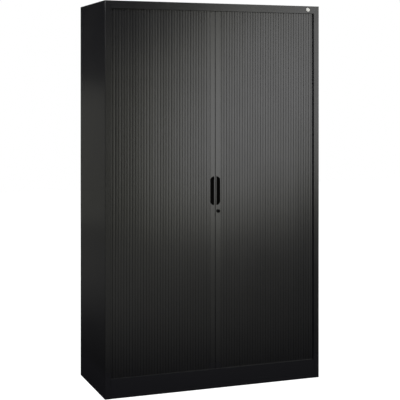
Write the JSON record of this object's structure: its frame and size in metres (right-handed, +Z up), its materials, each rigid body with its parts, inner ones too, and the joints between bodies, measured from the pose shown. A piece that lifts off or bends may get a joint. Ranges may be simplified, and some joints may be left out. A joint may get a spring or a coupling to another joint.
{
  "type": "tambour door storage cupboard",
  "caption": "Tall black steel cupboard with two slatted roll doors that meet in the middle, recessed finger pulls, a lock and adjustable shelves inside",
  "frame": {"origin": "on the floor, at the middle of the base", "axes": "X right as seen from the front, Y to the back, Z up"},
  "size_m": [1.2, 0.432, 1.98],
  "materials": {
    "painted_steel": "fine-textured black powder coat, satin",
    "slat_enamel": "smooth satin black coil coat",
    "profile_enamel": "satin black powder coat on aluminium",
    "track_plastic": "black low-friction plastic",
    "pull_plastic": "black moulding, fine eroded grain",
    "lock_black": "black-plated zinc casting",
    "zinc_plated_steel": "bright zinc plate",
    "disc_metal": "satin aluminium, plain",
    "black_rubber": "matt black rubber",
    "foot_plastic": "black glass-filled nylon"
  },
  "bodies": {
    "carcase": {"back_panel": "painted_steel", "base_panel": "painted_steel", "ceiling_panel": "painted_steel", "door_buffers": "black_rubber", "foot_brackets": "zinc_plated_steel", "inner_side_left": "painted_steel", "inner_side_right": "painted_steel", "lower_track": "track_plastic", "plinth_front": "painted_steel", "rail_disc": "disc_metal", "shelf_1": "painted_steel", "shelf_2": "painted_steel", "shelf_3": "painted_steel", "shelf_4": "painted_steel", "shelf_clips": "zinc_plated_steel", "shelf_uprights": "painted_steel", "side_panel_left": "painted_steel", "side_panel_right": "painted_steel", "top_panel": "painted_steel", "upper_track": "track_plastic"},
    "door_left": {"leading_profile_left": "profile_enamel", "handle_cup_left": "pull_plastic", "profile_glides_left": "track_plastic", "strike_plate": "zinc_plated_steel"},
    "door_right": {"leading_profile_right": "profile_enamel", "handle_cup_right": "pull_plastic", "profile_glides_right": "track_plastic", "lock_housing": "lock_black", "lock_clip": "zinc_plated_steel"},
    "lock": {"lock_barrel": "lock_black", "lock_cam": "zinc_plated_steel", "lock_cam_screw": "zinc_plated_steel"},
    "curtain_left_01": {"curtain_left_01": "slat_enamel"},
    "curtain_left_02": {"curtain_left_02": "slat_enamel"},
    "curtain_left_03": {"curtain_left_03": "slat_enamel"},
    "curtain_left_04": {"curtain_left_04": "slat_enamel"},
    "curtain_left_05": {"curtain_left_05": "slat_enamel"},
    "curtain_left_06": {"curtain_left_06": "slat_enamel"},
    "curtain_left_07": {"curtain_left_07": "slat_enamel"},
    "curtain_left_08": {"curtain_left_08": "slat_enamel"},
    "curtain_left_09": {"curtain_left_09": "slat_enamel"},
    "curtain_left_10": {"curtain_left_10": "slat_enamel"},
    "curtain_left_11": {"curtain_left_11": "slat_enamel"},
    "curtain_left_12": {"curtain_left_12": "slat_enamel"},
    "curtain_right_01": {"curtain_right_01": "slat_enamel"},
    "curtain_right_02": {"curtain_right_02": "slat_enamel"},
    "curtain_right_03": {"curtain_right_03": "slat_enamel"},
    "curtain_right_04": {"curtain_right_04": "slat_enamel"},
    "curtain_right_05": {"curtain_right_05": "slat_enamel"},
    "curtain_right_06": {"curtain_right_06": "slat_enamel"},
    "curtain_right_07": {"curtain_right_07": "slat_enamel"},
    "curtain_right_08": {"curtain_right_08": "slat_enamel"},
    "curtain_right_09": {"curtain_right_09": "slat_enamel"},
    "curtain_right_10": {"curtain_right_10": "slat_enamel"},
    "curtain_right_11": {"curtain_right_11": "slat_enamel"},
    "curtain_right_12": {"curtain_right_12": "slat_enamel"},
    "levelling_foot_front_left": {"levelling_foot_front_left": "foot_plastic"},
    "levelling_foot_front_right": {"levelling_foot_front_right": "foot_plastic"},
    "levelling_foot_rear_left": {"levelling_foot_rear_left": "foot_plastic"},
    "levelling_foot_rear_right": {"levelling_foot_rear_right": "foot_plastic"}
  },
  "joints": [
    {"name": "left_door_slide", "type": "slide", "parent": "carcase", "child": "door_left", "axis": [-1, 0, 0], "range_m": [0, 0.5225], "deforming": ["curtain_left_01", "curtain_left_02", "curtain_left_03", "curtain_left_04", "curtain_left_05", "curtain_left_06", "curtain_left_07", "curtain_left_08", "curtain_left_09", "curtain_left_10", "curtain_left_11", "curtain_left_12"]},
    {"name": "right_door_slide", "type": "slide", "parent": "carcase", "child": "door_right", "axis": [1, 0, 0], "range_m": [0, 0.5225], "deforming": ["curtain_right_01", "curtain_right_02", "curtain_right_03", "curtain_right_04", "curtain_right_05", "curtain_right_06", "curtain_right_07", "curtain_right_08", "curtain_right_09", "curtain_right_10", "curtain_right_11", "curtain_right_12"]},
    {"name": "left_curtain_01_slide", "type": "slide", "parent": "carcase", "child": "curtain_left_01", "axis": [-1, 0.0081, 0], "range_m": [0, 0.517]},
    {"name": "left_curtain_02_slide", "type": "slide", "parent": "carcase", "child": "curtain_left_02", "axis": [-1, 0.0082, 0], "range_m": [0, 0.47208]},
    {"name": "left_curtain_03_slide", "type": "slide", "parent": "carcase", "child": "curtain_left_03", "axis": [-1, 0.0082, 0], "range_m": [0, 0.42716]},
    {"name": "left_curtain_04_slide", "type": "slide", "parent": "carcase", "child": "curtain_left_04", "axis": [-1, 0.0083, 0], "range_m": [0, 0.38224]},
    {"name": "left_curtain_05_slide", "type": "slide", "parent": "carcase", "child": "curtain_left_05", "axis": [-1, 0.0083, 0], "range_m": [0, 0.33733]},
    {"name": "left_curtain_06_slide", "type": "slide", "parent": "carcase", "child": "curtain_left_06", "axis": [-1, 0.0084, 0], "range_m": [0, 0.29241]},
    {"name": "left_curtain_07_slide", "type": "slide", "parent": "carcase", "child": "curtain_left_07", "axis": [-1, 0.0085, 0], "range_m": [0, 0.24749]},
    {"name": "left_curtain_08_slide", "type": "slide", "parent": "carcase", "child": "curtain_left_08", "axis": [-1, 0.0087, 0], "range_m": [0, 0.20257]},
    {"name": "left_curtain_09_slide", "type": "slide", "parent": "carcase", "child": "curtain_left_09", "axis": [-1, 0.0089, 0], "range_m": [0, 0.15766]},
    {"name": "left_curtain_10_slide", "type": "slide", "parent": "carcase", "child": "curtain_left_10", "axis": [-1, 0.0094, 0], "range_m": [0, 0.11274]},
    {"name": "left_curtain_11_slide", "type": "slide", "parent": "carcase", "child": "curtain_left_11", "axis": [-0.9999, 0.0104, 0], "range_m": [0, 0.06782]},
    {"name": "left_curtain_12_slide", "type": "slide", "parent": "carcase", "child": "curtain_left_12", "axis": [-0.9999, 0.0156, 0], "range_m": [0, 0.0229]},
    {"name": "right_curtain_01_slide", "type": "slide", "parent": "carcase", "child": "curtain_right_01", "axis": [1, 0.0081, 0], "range_m": [0, 0.517]},
    {"name": "right_curtain_02_slide", "type": "slide", "parent": "carcase", "child": "curtain_right_02", "axis": [1, 0.0082, 0], "range_m": [0, 0.47208]},
    {"name": "right_curtain_03_slide", "type": "slide", "parent": "carcase", "child": "curtain_right_03", "axis": [1, 0.0082, 0], "range_m": [0, 0.42716]},
    {"name": "right_curtain_04_slide", "type": "slide", "parent": "carcase", "child": "curtain_right_04", "axis": [1, 0.0083, 0], "range_m": [0, 0.38224]},
    {"name": "right_curtain_05_slide", "type": "slide", "parent": "carcase", "child": "curtain_right_05", "axis": [1, 0.0083, 0], "range_m": [0, 0.33733]},
    {"name": "right_curtain_06_slide", "type": "slide", "parent": "carcase", "child": "curtain_right_06", "axis": [1, 0.0084, 0], "range_m": [0, 0.29241]},
    {"name": "right_curtain_07_slide", "type": "slide", "parent": "carcase", "child": "curtain_right_07", "axis": [1, 0.0085, 0], "range_m": [0, 0.24749]},
    {"name": "right_curtain_08_slide", "type": "slide", "parent": "carcase", "child": "curtain_right_08", "axis": [1, 0.0087, 0], "range_m": [0, 0.20257]},
    {"name": "right_curtain_09_slide", "type": "slide", "parent": "carcase", "child": "curtain_right_09", "axis": [1, 0.0089, 0], "range_m": [0, 0.15766]},
    {"name": "right_curtain_10_slide", "type": "slide", "parent": "carcase", "child": "curtain_right_10", "axis": [1, 0.0094, 0], "range_m": [0, 0.11274]},
    {"name": "right_curtain_11_slide", "type": "slide", "parent": "carcase", "child": "curtain_right_11", "axis": [0.9999, 0.0104, 0], "range_m": [0, 0.06782]},
    {"name": "right_curtain_12_slide", "type": "slide", "parent": "carcase", "child": "curtain_right_12", "axis": [0.9999, 0.0156, 0], "range_m": [0, 0.0229]},
    {"name": "lock_turn", "type": "hinge", "parent": "door_right", "child": "lock", "pos_m": [0.0165, -0.2072, 0.91], "axis": [0, 1, 0], "range_deg": [0, 90]},
    {"name": "foot_front_left_screw", "type": "slide", "parent": "carcase", "child": "levelling_foot_front_left", "axis": [0, 0, -1], "range_m": [0, 0.016]},
    {"name": "foot_front_right_screw", "type": "slide", "parent": "carcase", "child": "levelling_foot_front_right", "axis": [0, 0, -1], "range_m": [0, 0.016]},
    {"name": "foot_rear_left_screw", "type": "slide", "parent": "carcase", "child": "levelling_foot_rear_left", "axis": [0, 0, -1], "range_m": [0, 0.016]},
    {"name": "foot_rear_right_screw", "type": "slide", "parent": "carcase", "child": "levelling_foot_rear_right", "axis": [0, 0, -1], "range_m": [0, 0.016]}
  ],
  "couplings": [
    {"joint": "left_curtain_01_slide", "follows": "left_door_slide", "ratio": 0.98852},
    {"joint": "left_curtain_02_slide", "follows": "left_door_slide", "ratio": 0.90255},
    {"joint": "left_curtain_03_slide", "follows": "left_door_slide", "ratio": 0.81658},
    {"joint": "left_curtain_04_slide", "follows": "left_door_slide", "ratio": 0.73061},
    {"joint": "left_curtain_05_slide", "follows": "left_door_slide", "ratio": 0.64465},
    {"joint": "left_curtain_06_slide", "follows": "left_door_slide", "ratio": 0.55868},
    {"joint": "left_curtain_07_slide", "follows": "left_door_slide", "ratio": 0.47271},
    {"joint": "left_curtain_08_slide", "follows": "left_door_slide", "ratio": 0.38674},
    {"joint": "left_curtain_09_slide", "follows": "left_door_slide", "ratio": 0.30078},
    {"joint": "left_curtain_10_slide", "follows": "left_door_slide", "ratio": 0.21481},
    {"joint": "left_curtain_11_slide", "follows": "left_door_slide", "ratio": 0.12884},
    {"joint": "left_curtain_12_slide", "follows": "left_door_slide", "ratio": 0.04288},
    {"joint": "right_curtain_01_slide", "follows": "right_door_slide", "ratio": 0.98852},
    {"joint": "right_curtain_02_slide", "follows": "right_door_slide", "ratio": 0.90255},
    {"joint": "right_curtain_03_slide", "follows": "right_door_slide", "ratio": 0.81658},
    {"joint": "right_curtain_04_slide", "follows": "right_door_slide", "ratio": 0.73061},
    {"joint": "right_curtain_05_slide", "follows": "right_door_slide", "ratio": 0.64465},
    {"joint": "right_curtain_06_slide", "follows": "right_door_slide", "ratio": 0.55868},
    {"joint": "right_curtain_07_slide", "follows": "right_door_slide", "ratio": 0.47271},
    {"joint": "right_curtain_08_slide", "follows": "right_door_slide", "ratio": 0.38674},
    {"joint": "right_curtain_09_slide", "follows": "right_door_slide", "ratio": 0.30078},
    {"joint": "right_curtain_10_slide", "follows": "right_door_slide", "ratio": 0.21481},
    {"joint": "right_curtain_11_slide", "follows": "right_door_slide", "ratio": 0.12884},
    {"joint": "right_curtain_12_slide", "follows": "right_door_slide", "ratio": 0.04288}
  ]
}
